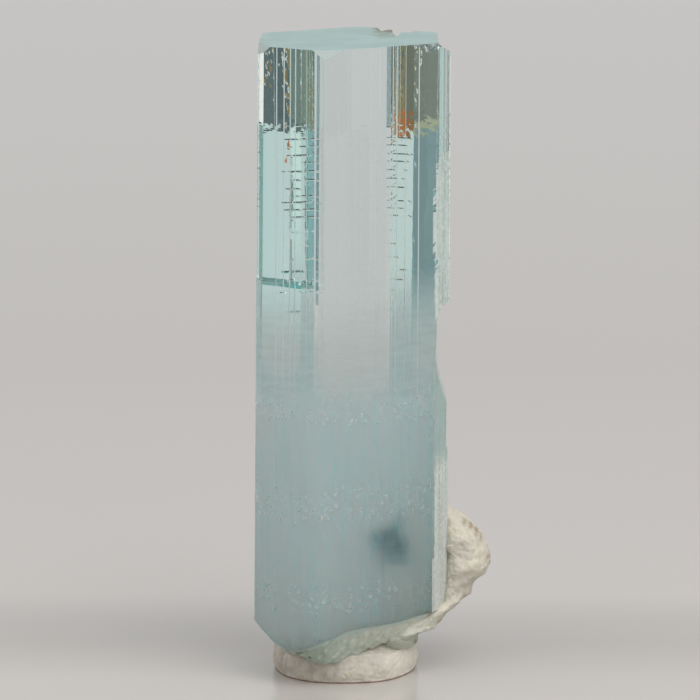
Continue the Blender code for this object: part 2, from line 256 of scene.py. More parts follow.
# The floor's tone from front to back: share of the way, and colour. The darker band just behind the crystal
# is painted shade.
FLOOR_HALF = 1.5
FLOOR_RAMP = (-0.02, 0.48)
FLOOR_TONES_AND_SHADE = (
    (0.000, (0.51, 0.485, 0.455)), (0.032, (0.505, 0.48, 0.45)), (0.056, (0.415, 0.395, 0.375)),
    (0.072, (0.43, 0.41, 0.39)), (0.090, (0.505, 0.48, 0.46)), (0.180, (0.47, 0.445, 0.43)),
    (0.300, (0.445, 0.425, 0.41)), (0.600, (0.49, 0.475, 0.46)), (1.000, (0.56, 0.54, 0.53)),
)

# Plain flats that lie on the floor round the crystal, out of the camera's sight, and shine through its
# sides: name, first and last direction in degrees from +X towards +Y, where the flat starts, its tone,
# its margin's tone and width, and the tone of a fainter flat nearer in with its reach, or None.
# Lengths are in millimetres.
FLATS = (
    ("flat_right_front", -41.5, -35.6, 250, (0.13, 0.115, 0.08), (0.26, 0.09, 0.015), 16, None),
    (
        "flat_right_slate", -35.6, -32.85, 274, (0.07, 0.10, 0.105), (0.04, 0.06, 0.06), 4,
        ((0.54, 0.61, 0.59), 96),
    ),
    ("flat_right_ochre", -32.82, -29.0, 248, (0.23, 0.15, 0.05), (0.42, 0.11, 0.006), 20, None),
    (
        "flat_left_olive", -161.0, -153.02, 268, (0.20, 0.19, 0.12), (0.22, 0.20, 0.12), 6,
        ((0.24, 0.37, 0.38), 122),
    ),
    (
        "flat_left_moss", -152.98, -151.92, 287, (0.15, 0.16, 0.13), (0.34, 0.33, 0.22), 12,
        ((0.17, 0.24, 0.25), 141),
    ),
    ("flat_left_gray", -151.88, -144.5, 266, (0.18, 0.19, 0.15), (0.08, 0.09, 0.09), 4, None),
    (
        "flat_back_left", 141.0, 151.0, 257, (0.13, 0.15, 0.13), (0.07, 0.08, 0.08), 5,
        ((0.72, 0.70, 0.64), 165),
    ),
    ("flat_back_slate", 106.0, 109.4, 307, (0.24, 0.30, 0.31), (0.14, 0.18, 0.18), 5, None),
    ("flat_back_gray", 58.0, 63.0, 160, (0.42, 0.33, 0.31), (0.42, 0.33, 0.31), 5, None),
    ("flat_back_blue", 39.5, 43.0, 160, (0.12, 0.20, 0.22), (0.12, 0.20, 0.22), 5, None),
    ("flat_white_left", -176.5, -172.0, 80, (1.10, 0.90, 0.85), (1.10, 0.90, 0.85), 5, None),
    ("flat_white_front", -96.0, -66.0, 80, (1.20, 0.96, 0.88), (1.20, 0.96, 0.88), 5, None),
)
# Soft widths in millimetres: of a flat's near edge, of its margin's far edge and of the fainter flat
FLAT_FADE, MARGIN_FADE, INNER_FADE = 0.4, 2, 38
FLAT_LIFT = 0.001
FLAT_END = 0.43
FLAT_RAGGED = 0.25 * MM
FLAT_MOTTLE = 0.35 * MM
ARC_STEPS = 12
# Dark low screens further out: first and last direction
SCREENS = ((-178.0, -8.0), (118.0, 172.0))
SCREEN_REACH, SCREEN_HEIGHT = 0.62, 0.065
SCREEN_TONE = (0.03, 0.035, 0.035)

# Square soft lamps: name, place, width and power in watts
LAMPS = (("key", (0.35, -0.45, 0.8), 0.7, 5), ("fill", (-0.5, -0.3, 0.8), 0.8, 2))
LAMP_AIM = Vector((0, 0, 0.03))
WORLD_TONE, WORLD_STRENGTH = (1.0, 0.99, 0.98), 0.64
MOST_BOUNCES, CLEAR_BOUNCES, VOLUME_BOUNCES = 80, 24, 50


def add_shape(name, shape):
    """Makes an object of a bmesh."""
    mesh = bpy.data.meshes.new(name)
    shape.to_mesh(mesh)
    shape.free()
    obj = bpy.data.objects.new(name, mesh)
    bpy.context.scene.collection.objects.link(obj)
    return obj


def along(table, position, unit=MM):
    """Reads a table of (position, value), both in units, between its rows."""
    rows = [(at * unit, value * unit) for at, value in table]
    if position <= rows[0][0]:
        return rows[0][1]
    for (low, first), (high, second) in zip(rows, rows[1:]):
        if position <= high:
            return first + (second - first) * (position - low) / (high - low)
    return rows[-1][1]


def smooth(low, high, value):
    """Runs softly from 0 at the low value to 1 at the high one."""
    share = min(max((value - low) / (high - low), 0.0), 1.0)
    return share * share * (3 - 2 * share)


def looks(angle):
    """The direction that a prism face looks in."""
    turn = math.radians(angle)
    return Vector((math.sin(turn), -math.cos(turn)))


def crossing(first, second):
    """The corner where two prism faces meet, each given as (normal, distance)."""
    (a, p), (b, q) = first, second
    share = a.x * b.y - a.y * b.x
    return Vector(((p * b.y - q * a.y) / share, (q * a.x - p * b.x) / share))


def face_distance(face, z, grow):
    inset = BAND_INSET * (1 - smooth(*BAND_INSET_ENDS, z)) if face is BAND else 0.0
    return face[1] - inset + grow


def corners_at(z, grow):
    planes = [(looks(face[0]), face_distance(face, z, grow)) for face in FACES]
    return [crossing(planes[index - 1], planes[index]) for index in range(len(planes))]


def outline_marks(step, plain):
    """The points of the outline, as (face number, share of its width, relief there)."""
    corners = corners_at(TOP, 0.0)
    marks = []
    for index, face in enumerate(FACES):
        width = (corners[(index + 1) % len(FACES)] - corners[index]).length
        relief = NO_RELIEF if plain else RELIEF.get(face, NO_RELIEF)
        for (share, rise), (after, next_rise) in zip(relief, relief[1:]):
            pieces = max(1, round((after - share) * width / step))
            for piece in range(pieces):
                part = piece / pieces
                height = (rise + (next_rise - rise) * part) * MM
                marks.append((index, share + (after - share) * part, height))
    return marks


def nick_depth(face, share, z):
    """How deep the level nicks are at a place of the two back faces."""
    for height, left, right, depth in NICKS:
        if abs(z - height * MM) >= 0.5 * NICK_HALF:
            continue
        on_left = face is BACK_LEFT and share < left
        on_right = face is BACK_RIGHT and share > right
        if face is BACK_BLUNT or on_left or on_right:
            way = -share if face is BACK_LEFT else share
            broken_up = noise.noise(Vector((way * NICK_BREAKS, height * 3.1, 0.5)))
            return depth * MM * smooth(*NICK_GAPS, broken_up)
    return 0.0


def surface_grain(face, share, place):
    """Fine unevenness of a face: ripples that break up what shines through it."""
    if face not in (BACK_LEFT, BACK_RIGHT, LEFT, RIGHT):
        return 0.0
    height = GRAIN_HEIGHT
    if face is BACK_LEFT and any(start < share < end for start, end in ROUGHER_STRIPS):
        height += ROUGHER_BY * smooth(*ROUGHER_FROM, place.z)
    return height * MM * noise.noise(place / GRAIN_SIZE)


def bruised(place):
    behind = PLATES_BACK if place.z > BRUISE_DEEP_TOP else BRUISE_DEEP_BACK
    return place.x > along(BRUISE, place.z) and place.y < behind and place.z < BRUISE_TOP


def textured(face, share, rise, spot, z):
    """A point of a face, moved by the relief, the nicks, the grain and the bruise that it has there."""
    way = looks(face[0])
    place = Vector((*spot, z))
    spot = spot + way * (rise - nick_depth(face, share, z) + surface_grain(face, share, place))
    if bruised(place):
        coarse_size, coarse_height = BRUISE_COARSE
        fine_size, fine_height = BRUISE_FINE
        coarse = coarse_height * noise.noise(Vector((spot.x, spot.y, z * 0.5)) / coarse_size)
        spot = spot + way * (coarse + fine_height * noise.noise(place / fine_size))
    return spot


def section(marks, z, grow=0.0, plain=False):
    """The crystal's outline at height z."""
    corners = corners_at(z, grow)
    points = []
    for index, share, rise in marks:
        corner = corners[index]
        after = corners[(index + 1) % len(FACES)]
        spot = corner + (after - corner) * share
        if not plain:
            spot = textured(FACES[index], share, rise, spot, z)
        points.append(shaped(spot, z, grow))
    return points


def shaped(point, z, grow):
    """Breaks off the right side, then widens the crystal towards its foot."""
    reach = RIGHT_REACH if point.y < PLATES_BACK else RIGHT_REACH_BEHIND
    x = min(point.x, along(reach, z) + grow)
    down = 1 - z / TOP
    return Vector((x + TAPER * down * (x - TAPER_AXIS), point.y))


def broken(place, size):
    """From -1 to 1: tilted flat facets that meet in sharp edges. The odd factors only mix the noise."""
    spot = place / size
    centre = noise.voronoi(spot)[1][0]
    lean = noise.cell_vector(centre * 7.3)
    return (spot - centre).dot(lean) + 0.6 * (noise.cell(centre * 5.1) - 0.5)


def foot_point(spot, share, fall, grow):
    """A point of the broken foot. It lies at a share of the outline's radius, fallen by so much."""
    inside = spot * share
    high = along(FACES_END, spot.x)
    low = along(FOOT, inside.x)
    coarse_size, coarse_height = FOOT_COARSE
    fine_size, fine_height = FOOT_FINE
    rough = coarse_height * broken(Vector((*inside, 0.0)), coarse_size) * min(fall, 0.5)
    rough += fine_height * broken(Vector((*inside, 4 * MM)), fine_size) * min(fall * 4, 1.0)
    return Vector((*inside, high + (low - high) * fall + rough - grow))


def foot_rings(outline, count, grow, grow_at=None):
    """The broken foot from its middle out. It grows evenly, or by grow_at(spot, share) off its middle."""
    rings = [[foot_point(Vector((0.0, 0.0)), 1.0, 1.0, grow)]]
    for step in range(1, count + 1):
        share = step / count
        fall = 1 - smooth(1 - FOOT_SLOPE, 1.0, share)
        ring = []
        for spot in outline:
            ring.append(foot_point(spot, share, fall, grow_at(spot, share) if grow_at else grow))
        rings.append(ring)
    return rings


def loft(rings):
    """A closed skin through rings of equal length, with a fan over an end that is one point."""
    shape = bmesh.new()
    rows = [[shape.verts.new(point) for point in ring] for ring in rings]
    for low, high in zip(rows, rows[1:]):
        for index in range(max(len(low), len(high))):
            after = (index + 1) % max(len(low), len(high))
            if len(low) == 1:
                shape.faces.new((low[0], high[after], high[index]))
            elif len(high) == 1:
                shape.faces.new((low[index], low[after], high[0]))
            else:
                shape.faces.new((low[index], low[after], high[after], high[index]))
    if len(rows[-1]) > 1:
        shape.faces.new(rows[-1])
    bmesh.ops.recalc_face_normals(shape, faces=shape.faces)
    return shape


def crystal_heights():
    """The heights of the outlines, with three for each level nick."""
    count = round((TOP - LOW_RING) / RING_STEP)
    heights = {round(LOW_RING + (TOP - LOW_RING) * index / count, 7) for index in range(count + 1)}
    for height, _, _, _ in NICKS:
        middle = height * MM
        heights = {z for z in heights if abs(z - middle) > NICK_HALF * 1.6}
        heights |= {middle - NICK_HALF, middle, middle + NICK_HALF}
    return sorted(heights)


def crystal_shape():
    marks = outline_marks(OUTLINE_STEP, False)
    rings = foot_rings(section(marks, LOW_RING), FOOT_RINGS, 0.0)
    for z in crystal_heights():
        rings.append([Vector((*point, z)) for point in section(marks, z)])
    return loft(rings)


def slice_off(shape, point, normal):
    """Cuts away what lies beyond a plane and closes the cut with one flat face."""
    everything = [*shape.verts, *shape.edges, *shape.faces]
    cut = bmesh.ops.bisect_plane(
        shape, geom=everything, dist=1e-7, plane_co=point, plane_no=normal, clear_outer=True
    )
    rim = [part for part in cut["geom_cut"] if isinstance(part, bmesh.types.BMEdge)]
    bmesh.ops.contextual_create(shape, geom=rim)


def facet_ends(shape):
    """The small faces round the end face: a triangle at the foremost edge, and slopes at the sides."""
    left = Vector((-2.6, -7.543, 51.3)) * MM
    right = Vector((-0.04, -7.202, 51.3)) * MM
    tip = Vector((-1.56, -8.027, 50.6)) * MM
    normal = (right - tip).cross(left - tip).normalized()
    slice_off(shape, tip, normal)
    slice_off(shape, Vector((8.15, 0, 50.75)) * MM, Vector((0.90, 0.05, 0.42)).normalized())
    slice_off(shape, Vector((-6.75, -3.0, 51.3)) * MM, Vector((-0.75, -0.25, 0.61)).normalized())


def chip(name, centre, radii, rough):
    """A rough ball, used to knock a chip out of the top."""
    shape = bmesh.new()
    bmesh.ops.create_icosphere(shape, subdivisions=4, radius=1.0)
    for vertex in shape.verts:
        swell = 1 + rough * noise.noise(vertex.co * 1.7 + Vector(centre))
        swell += CHIP_FACET * broken(vertex.co + Vector((3, 1, 2)), CHIP_FACET_SIZE)
        reach = [axis * radius * MM * swell for axis, radius in zip(vertex.co, radii)]
        vertex.co = Vector(centre) * MM + Vector(reach)
    return add_shape(name, shape)


def plates_top():
    """The space above the plates on the right side."""
    width, depth, ceiling = 2.5 * MM, 14, 54 * MM
    shape = bmesh.new()
    bmesh.ops.create_cube(shape, size=1.0)
    for vertex in shape.verts:
        x = PLATES_CREST.x + (vertex.co.x + 0.5) * width
        y = (vertex.co.y * depth) * MM
        fall = PLATES_SLOPE.x * (x - PLATES_CREST.x) + PLATES_SLOPE.y * (y - PLATES_CREST.y)
        low = PLATES_CREST.z - fall / PLATES_SLOPE.z
        vertex.co = (x, y, low if vertex.co.z < 0 else ceiling)
    bmesh.ops.recalc_face_normals(shape, faces=shape.faces)
    return add_shape("above_plates", shape)


def carve(obj, others):
    """Takes the other objects out of this one, and deletes them."""
    for other in others:
        cut = obj.modifiers.new(other.name, "BOOLEAN")
        cut.operation = "DIFFERENCE"
        cut.solver = "EXACT"
        cut.object = other
    bpy.context.view_layer.update()
    whole = obj.evaluated_get(bpy.context.evaluated_depsgraph_get())
    mesh = bpy.data.meshes.new_from_object(whole)
    obj.modifiers.clear()
    obj.data = mesh
    for other in others:
        bpy.data.objects.remove(other)


class Look:
    """A material being made. Its methods add nodes, and most give back the socket that comes out."""

    def __init__(self, name, lit=True, placed=True):
        self.material = bpy.data.materials.new(name)
        self.material.use_nodes = True
        self.nodes = self.material.node_tree.nodes
        if lit:
            self.shader = self.nodes["Principled BSDF"]
        else:
            self.nodes.remove(self.nodes["Principled BSDF"])
        if placed:
            self.place = self.nodes.new("ShaderNodeTexCoord").outputs["Object"]
            parts = self.nodes.new("ShaderNodeSeparateXYZ")
            self.send(self.place, parts.inputs[0])
            self.x, self.y, self.z = parts.outputs

    def send(self, value, socket):
        """Links a socket to another, or sets it to a number or a colour."""
        if isinstance(value, bpy.types.NodeSocket):
            self.material.node_tree.links.new(value, socket)
        elif isinstance(value, tuple):
            socket.default_value = (*value, 1.0)
        else:
            socket.default_value = value

    def send_out(self, value, kind):
        self.send(value, self.nodes["Material Output"].inputs[kind])

    def number(self, operation, first, second=None):
        """A Math node. Each input is a socket or a number."""
        node = self.nodes.new("ShaderNodeMath")
        node.operation = operation
        self.send(first, node.inputs[0])
        if second is not None:
            self.send(second, node.inputs[1])
        return node.outputs[0]

    def add(self, first, second):
        return self.number("ADD", first, second)

    def times(self, first, second):
        return self.number("MULTIPLY", first, second)

    def spread(self, value, low, high, to_low=0.0, to_high=1.0, ease="LINEAR"):
        """Carries a value from one range to another, and no further."""
        node = self.nodes.new("ShaderNodeMapRange")
        node.interpolation_type = ease
        self.send(value, node.inputs["Value"])
        for name, setting in (("From Min", low), ("From Max", high), ("To Min", to_low), ("To Max", to_high)):
            node.inputs[name].default_value = setting
        return node.outputs[0]

    def grain(self, size, stretch=(1, 1, 1), detail=2.0, offset=(0, 0, 0)):
        """Noise with features of about this size, stretched along the axes."""
        mapping = self.nodes.new("ShaderNodeMapping")
        mapping.inputs["Scale"].default_value = [1 / (size * part) for part in stretch]
        mapping.inputs["Location"].default_value = offset
        self.send(self.place, mapping.inputs["Vector"])
        texture = self.nodes.new("ShaderNodeTexNoise")
        texture.inputs["Scale"].default_value = 1.0
        texture.inputs["Detail"].default_value = detail
        self.send(mapping.outputs[0], texture.inputs["Vector"])
        return texture.outputs["Fac"]

    def ragged(self, value, texture, amount):
        """A value moved up and down by up to an amount, as a noise has it."""
        return self.add(value, self.spread(texture, 0.3, 0.7, -amount, amount))

    def blend(self, share, first, second):
        node = self.nodes.new("ShaderNodeMix")
        node.data_type = "RGBA"
        sockets = [socket for socket in node.inputs if socket.enabled]
        for socket, value in zip(sockets, (share, first, second)):
            self.send(value, socket)
        return [socket for socket in node.outputs if socket.enabled][0]

    def length(self, vector):
        node = self.nodes.new("ShaderNodeVectorMath")
        node.operation = "LENGTH"
        self.send(vector, node.inputs[0])
        return node.outputs["Value"]

    def distance_from(self, centre, radii):
        """How far a place is from a centre, as a share of the radii."""
        offset = self.nodes.new("ShaderNodeMapping")
        offset.vector_type = "TEXTURE"
        offset.inputs["Location"].default_value = centre
        offset.inputs["Scale"].default_value = radii
        self.send(self.place, offset.inputs["Vector"])
        return self.length(offset.outputs[0])

    def attribute(self, name):
        node = self.nodes.new("ShaderNodeAttribute")
        node.attribute_name = name
        return node.outputs["Fac"]

    def volume(self, kind, colour, density):
        node = self.nodes.new("ShaderNodeVolume" + kind)
        self.send(colour, node.inputs["Color"])
        self.send(density, node.inputs["Density"])
        return node.outputs["Volume"]

    def glow(self, colour):
        node = self.nodes.new("ShaderNodeEmission")
        self.send(colour, node.inputs["Color"])
        return node.outputs[0]

    def surface(self, colour, roughness):
        """Finishes a lit material."""
        self.send(colour, self.shader.inputs["Base Color"])
        self.shader.inputs["Roughness"].default_value = roughness
        return self.material

    def beryl(self, colour, roughness, clear):
        """Finishes a material of beryl that lets this much light through."""
        self.shader.inputs["IOR"].default_value = BERYL_IOR
        self.shader.inputs["Transmission Weight"].default_value = clear
        self.send_out(self.volume("Absorption", BERYL_TINT, BERYL_DENSITY), "Volume")
        return self.surface(colour, roughness)


def beryl_material():
    return Look("beryl", placed=False).beryl((1.0, 1.0, 1.0), roughness=0.0, clear=1.0)


def bruise_material():
    """The rough right side: pale, with upright streaks, grainy in its middle and watery at its bulge."""
    look = Look("bruised_beryl")
    streaks = look.grain(0.35 * MM, (1, 1, 30), 3.0)
    crumbs = look.grain(0.30 * MM, detail=4.0)
    colour = look.blend(look.spread(streaks, 0.35, 0.65), (0.56, 0.60, 0.56), (0.90, 0.91, 0.86))
    grainy = look.times(look.spread(crumbs, 0.45, 0.65), 0.8)
    colour = look.blend(grainy, colour, (0.96, 0.96, 0.93))
    above = look.spread(look.z, 17.0 * MM, 18.5 * MM)
    bulge = look.times(above, look.spread(look.z, 27 * MM, 26 * MM))
    colour = look.blend(look.times(bulge, 0.75), colour, (0.42, 0.55, 0.53))
    return look.beryl(colour, roughness=0.45, clear=0.35)


def etched_material():
    """The end face and its bevels: finely etched, so not quite see-through."""
    look = Look("etched_beryl")
    clouds = look.grain(3.0 * MM)
    colour = look.blend(look.spread(clouds, 0.35, 0.65), (0.46, 0.60, 0.59), (0.53, 0.66, 0.65))
    colour = look.blend(look.spread(look.z, *BEVELS), colour, (0.62, 0.64, 0.62))
    # A greenish chipped patch that reaches the back rim, brown along that rim
    crumbs = look.grain(0.7 * MM, detail=4.0, offset=(1, 4, 2))
    away = look.ragged(look.distance_from(PATCH_CENTRE, PATCH_RADII), crumbs, 0.45)
    chipped = look.spread(away, 1.0, 0.55, 0.0, 0.85)
    colour = look.blend(chipped, colour, (0.34, 0.40, 0.33))
    rim = look.spread(look.ragged(look.y, crumbs, 1.2 * MM), 3.4 * MM, 4.8 * MM)
    colour = look.blend(look.times(chipped, rim), colour, (0.19, 0.16, 0.09))
    return look.beryl(colour, roughness=0.5, clear=0.45)


CLEAR, BRUISED, ETCHED = range(3)


def crystal_finish(polygon):
    """Which of the crystal's three materials a polygon has."""
    way, centre = polygon.normal, polygon.center
    if centre.z > ETCHED_FROM and way.z > ETCHED_UP and centre.x < PLATES_START:
        return ETCHED
    high, low = BRUISE_SIDEWAYS
    side = way.x > (high if centre.z > BRUISE_SIDEWAYS_CHANGE else low) and way.y < 0.8
    return BRUISED if side and way.z < 0.5 and bruised(centre) else CLEAR


def make_crystal():
    shape = crystal_shape()
    facet_ends(shape)
    # An edge where the plates start, so that the end face's material can stop there
    whole = [*shape.verts, *shape.edges, *shape.faces]
    bmesh.ops.bisect_plane(shape, geom=whole, dist=1e-7, plane_co=(PLATES_START, 0, 0), plane_no=(1, 0, 0))
    crystal = add_shape("aquamarine", shape)
    carve(crystal, [*(chip(*row) for row in CHIPS), plates_top()])
    for material in (beryl_material(), bruise_material(), etched_material()):
        crystal.data.materials.append(material)
    for polygon in crystal.data.polygons:
        polygon.material_index = crystal_finish(polygon)
    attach(crystal, "root")
    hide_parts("crystal")


def add_milk(look, level):
    """The volume: milk that thins out upwards, and the dark smoky spot."""
    haze = look.number("POWER", look.spread(level, HAZE_TOP, MILK_TOP), HAZE_POWER)
    milk = look.spread(level, MILK_TOP + MILK_EDGE, MILK_TOP - MILK_EDGE)
    wisps = look.grain(1.2 * MM, (2.5, 2.5, 0.35), 4.0)
    patches = look.grain(2.5 * MM, (1, 1, 1.6), 3.0)
    thin = look.times(haze, look.spread(wisps, 0.35, 0.65, *HAZE_DENSITIES))
    thick = look.times(milk, look.spread(patches, 0.3, 0.7, *MILK_DENSITIES))
    curls = look.grain(1.5 * MM, (1, 1, 1.4), 2.0, (6, 2, 8))
    away = look.ragged(look.distance_from(SMOKE_CENTRE, SMOKE_RADII), curls, 0.45)
    smoke = look.spread(away, 1.05, 0.25, 0.0, 1.0, "SMOOTHSTEP")
    both = look.nodes.new("ShaderNodeAddShader")
    look.send(look.volume("Scatter", MILK_TINT, look.add(thin, thick)), both.inputs[0])
    look.send(look.volume("Absorption", SMOKE_TINT, look.times(smoke, SMOKE_DENSITY)), both.inputs[1])
    look.send_out(both.outputs[0], "Volume")


def cloud_material():
    """The milky zone: its volume, and near its surface upright streaks and flakes at three levels."""
    look = Look("milk")
    waves = look.grain(1.6 * MM, detail=3.0)
    level = look.add(look.z, look.spread(waves, 0.0, 1.0, -0.8 * MM, 0.8 * MM))
    add_milk(look, level)
    streaks = look.grain(0.7 * MM, (1, 1, 14), 3.0, (3, 1, 4))
    veil = look.spread(streaks, 0.42, 0.66, 0.0, 0.20)
    crumbs = look.grain(0.34 * MM, (1, 1, 1.2), 3.0, (2, 9, 6))
    flakes = look.spread(crumbs, 0.575, 0.65, 0.0, 0.55)
    gathered = STRAY_FLAKES
    for height, thickness in FLAKE_LEVELS:
        gap = look.number("ABSOLUTE", look.number("SUBTRACT", level, height * MM))
        near = look.spread(gap, thickness * MM, 0.0, 0.0, 1.0, "SMOOTHSTEP")
        gathered = look.number("MAXIMUM", near, gathered)
    flakes = look.times(flakes, gathered)
    reach_down = look.spread(level, MILK_TOP + 1.6 * MM, MILK_TOP)
    look.send(look.times(look.add(veil, flakes), reach_down), look.shader.inputs["Alpha"])
    white = look.spread(flakes, 0.02, 0.20)
    return look.surface(look.blend(white, (0.52, 0.93, 1.0), (0.95, 0.98, 0.98)), roughness=0.9)


def make_cloud():
    marks = outline_marks(CLOUD_STEP, True)
    outline = section(marks, LOW_RING, CLOUD_INSET, True)
    rings = foot_rings(outline, CLOUD_FOOT_RINGS, CLOUD_INSET)
    count = round((HAZE_TOP - LOW_RING) / CLOUD_STEP)
    for index in range(count + 1):
        z = LOW_RING + (HAZE_TOP - LOW_RING) * index / count
        rings.append([Vector((*point, z)) for point in section(marks, z, CLOUD_INSET, True)])
    cloud = add_shape("milky_zone", loft(rings))
    cloud.data.materials.append(cloud_material())
    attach(cloud, "root")


def feldspar_rough(place):
    """How far the feldspar's surface stands out at a place: blocks, lumps and grains."""
    size, height = FELDSPAR_BLOCKS
    rough = height * broken(place, size)
    rough += sum(height * noise.noise(place / width) for width, height in FELDSPAR_LUMPS)
    for width, height in FELDSPAR_GRAINS:
        rough += height * (1 - 2 * min(noise.voronoi(place / width)[0][0], 1.0))
    return rough


def feldspar_ring(z, size, lift=0.0):
    """The feldspar's outline at a height, at a share of its size, lifted by so much."""
    right, front, back = [along([(row[0], row[column]) for row in FELDSPAR], z) for column in (1, 2, 3)]
    left = along(FELDSPAR_LEFT, z)
    centre = Vector(((right + left) / 2, (front + back) / 2))
    reach = Vector(((right - left) / 2, (back - front) / 2)) * size
    ring = []
    for column in range(FELDSPAR_COLUMNS):
        turn = 2 * math.pi * column / FELDSPAR_COLUMNS
        way = Vector((math.cos(turn), math.sin(turn)))
        full = Vector([math.copysign(abs(part) ** FELDSPAR_SQUARE, part) for part in way])
        place = Vector((centre.x + full.x * reach.x, centre.y + full.y * reach.y, z))
        place += Vector((*way, 0.0)) * feldspar_rough(place) * size
        ring.append(place + Vector((0, 0, lift)))
    return ring


def feldspar_shape():
    bottom = FELDSPAR[0][0] * MM
    top = FELDSPAR[-1][0] * MM
    rings = [[Vector((*feldspar_ring(bottom, 0.0)[0].xy, bottom))]]
    for step in range(1, FELDSPAR_END_RINGS):
        rings.append(feldspar_ring(bottom, step / FELDSPAR_END_RINGS))
    for row in range(FELDSPAR_ROWS + 1):
        rings.append(feldspar_ring(bottom + (top - bottom) * row / FELDSPAR_ROWS, 1.0))
    for step in range(FELDSPAR_END_RINGS - 1, 0, -1):
        size = step / FELDSPAR_END_RINGS
        rings.append(feldspar_ring(top, size, FELDSPAR_DOME * (1 - size**2)))
    rings.append([Vector((*feldspar_ring(top, 0.0)[0].xy, top + FELDSPAR_DOME))])
    return loft(rings)


def crust_thickness(spot, share):
    """The crust's thickness under a spot of the crystal's outline, at a share of the way out to it."""
    spot = spot * share
    (wide, high), (narrow, low) = CRUST_FACETS
    rough = high * broken(Vector((*spot, 0.0)), wide) + low * broken(Vector((*spot, 0.0)), narrow)
    thick = (CRUST_THIN + (CRUST_THICK + rough) * smooth(*CRUST_GROWS, spot.x)) * MM
    return thick * (1 - 0.95 * smooth(0.86, 1.0, share))


def crust_shape():
    """Greenish broken mineral under the crystal's foot, from its middle to the right."""
    outline = section(outline_marks(CRUST_STEP, True), LOW_RING, 0.0, True)
    under = foot_rings(outline, CRUST_RINGS, CRUST_MIDDLE, crust_thickness)
    over = foot_rings(outline, CRUST_RINGS, -CRUST_SUNK)
    shape = loft(under + over[-2::-1])
    slice_off(shape, Vector((-3.3 * MM, 0, 3 * MM)), Vector((-1.0, 0.3, 0.25)).normalized())
    return shape


def crust_material():
    look = Look("foot_crust")
    crumbs = look.grain(0.45 * MM, detail=4.0)
    # Darker and greener towards the left: partly the foot's own green tone, partly painted shade of the
    # undercut
    shade_fades_right = look.spread(look.x, -2.0 * MM, 6.0 * MM)
    colour = look.blend(shade_fades_right, (0.36, 0.44, 0.37), (0.66, 0.67, 0.58))
    colour = look.blend(look.spread(crumbs, 0.52, 0.70, 0.0, 0.7), colour, (0.66, 0.70, 0.62))
    colour = look.blend(look.spread(crumbs, 0.44, 0.34, 0.0, 0.5), colour, (0.26, 0.33, 0.27))
    waves = look.grain(0.8 * MM, detail=3.0, offset=(5, 5, 2))
    near_rim = look.ragged(look.attribute("rim"), waves, 0.25)
    colour = look.blend(look.spread(near_rim, 0.45, 1.0, 0.0, 0.85), colour, CRYSTAL_TONE)
    colour = look.blend(look.attribute("stain"), colour, (0.24, 0.12, 0.05))
    return look.surface(colour, roughness=0.45)


def add_attribute(obj, name, values):
    """Gives each vertex a number that materials can read."""
    obj.data.attributes.new(name, "FLOAT", "POINT").data.foreach_set("value", values)


def stain(place):
    """How rusty the mineral is at a place, from 0 to 1: soft patches that stay near the front."""
    most = 0.0
    uneven = 0.35 * noise.noise(place / (0.7 * MM))
    away = max(0.0, abs(place.y + STAIN_LINE) - STAIN_DEPTH)
    for right, height, size, strength in STAINS:
        gap = Vector((place.x - right * MM, place.z - height * MM, away)).length / (size * MM)
        most = max(most, strength * (1 - smooth(0.1, 1.1, gap + uneven)))
    return most


def make_crust():
    crust = add_shape("foot_crust", crust_shape())
    places = [vertex.co for vertex in crust.data.vertices]
    add_attribute(crust, "stain", [stain(place) for place in places])
    depths = [along(FACES_END, place.x) - place.z for place in places]
    add_attribute(crust, "rim", [1 - smooth(0.0, CRUST_RIM, depth) for depth in depths])
    crust.data.materials.append(crust_material())
    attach(crust, "root")


def feldspar_material():
    look = Look("feldspar")
    patches = look.grain(1.4 * MM, detail=3.0)
    crumbs = look.grain(0.25 * MM, detail=4.0)
    colour = look.blend(look.spread(patches, 0.35, 0.65), (0.60, 0.565, 0.49), (0.64, 0.59, 0.48))
    colour = look.blend(look.spread(crumbs, 0.55, 0.75), colour, (0.72, 0.69, 0.61))
    specks = look.grain(0.5 * MM, offset=(7, 3, 5))
    colour = look.blend(look.spread(specks, 0.68, 0.76, 0.0, 0.7), colour, (0.36, 0.36, 0.28))
    low = look.spread(look.z, 5.5 * MM, 3.4 * MM)
    low_left = look.times(low, look.spread(look.x, 9.0 * MM, 6.5 * MM))
    colour = look.blend(look.times(low_left, 0.75), colour, (0.47, 0.52, 0.45))
    rusty = look.times(look.attribute("stain"), 0.8)
    colour = look.blend(rusty, colour, (0.26, 0.17, 0.07))
    return look.surface(colour, roughness=0.6)


def make_feldspar():
    feldspar = add_shape("feldspar", feldspar_shape())
    add_attribute(feldspar, "stain", [stain(vertex.co) for vertex in feldspar.data.vertices])
    feldspar.data.materials.append(feldspar_material())
    feldspar.data.shade_smooth()
    feldspar.data.set_sharp_from_angle(angle=math.radians(35))
    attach(feldspar, "root")
    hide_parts("matrix")


def putty_rim(turn, share):
    """The putty's side at a share of its height: round, and a little uneven."""
    uneven = PUTTY_UNEVEN * noise.noise(Vector((math.cos(turn), math.sin(turn), 0.4)) * 1.6)
    swell = PUTTY_BULGE * math.sin(math.pi * (0.15 + 0.75 * share))
    return PUTTY_RADIUS + uneven + swell


def putty_top(x, y):
    """The height of the putty's upper side."""
    rough = PUTTY_TOP_ROUGH * noise.noise(Vector((x, y, 3.0)) / (1.6 * MM))
    fall = PUTTY_FALL * smooth(PUTTY_FALL_FROM, PUTTY_RADIUS, math.hypot(x, y))
    return PUTTY_HEIGHT * (1 - fall) + rough


def crumple(place):
    """Creases of pressed putty, in metres."""
    wide, high = PUTTY_FOLDS
    narrow, low = PUTTY_CREASES
    folds = abs(noise.noise(Vector((place.x, place.y, place.z * 0.4)) / wide))
    fine = abs(noise.noise(Vector((place.x, place.y, place.z * 0.7)) / narrow + Vector((5, 2, 9))))
    return high * (folds - 0.25) + low * (fine - 0.25)


